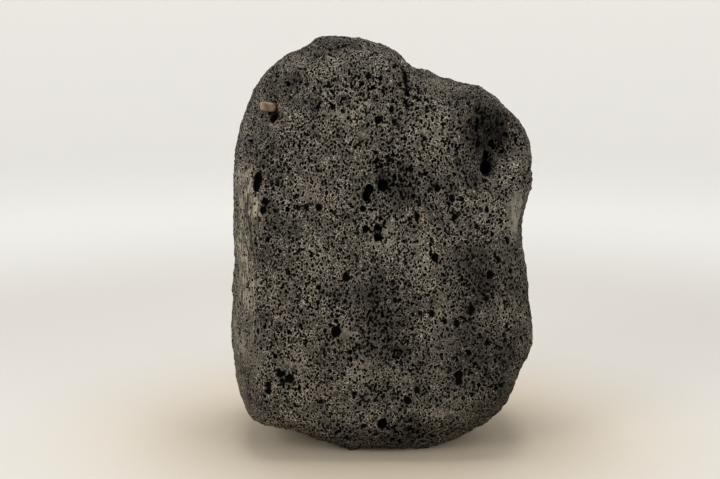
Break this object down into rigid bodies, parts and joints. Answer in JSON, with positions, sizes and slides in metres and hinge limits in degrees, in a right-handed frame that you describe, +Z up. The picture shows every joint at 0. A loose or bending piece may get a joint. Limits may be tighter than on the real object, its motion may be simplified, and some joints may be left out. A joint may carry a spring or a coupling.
{
  "type": "lava rock",
  "caption": "Upright block of dark vesicular lava rock with a worn flat to stand on and a small brown pebble lodged in a pocket high on its front.",
  "frame": {"origin": "on the ground, under the middle of the stone's box", "axes": "+Z up the stone's height; the broad front face looks along -Y; +X to the right seen from the front"},
  "size_m": [0.1932, 0.148, 0.2548],
  "materials": {
    "basalt": "matte, rough and full of open gas bubbles",
    "brown_gravel": "smooth water-worn pebble, dull sheen"
  },
  "bodies": {
    "root": {"lava_rock": "basalt", "lodged_pebble": "brown_gravel"}
  },
  "joints": []
}
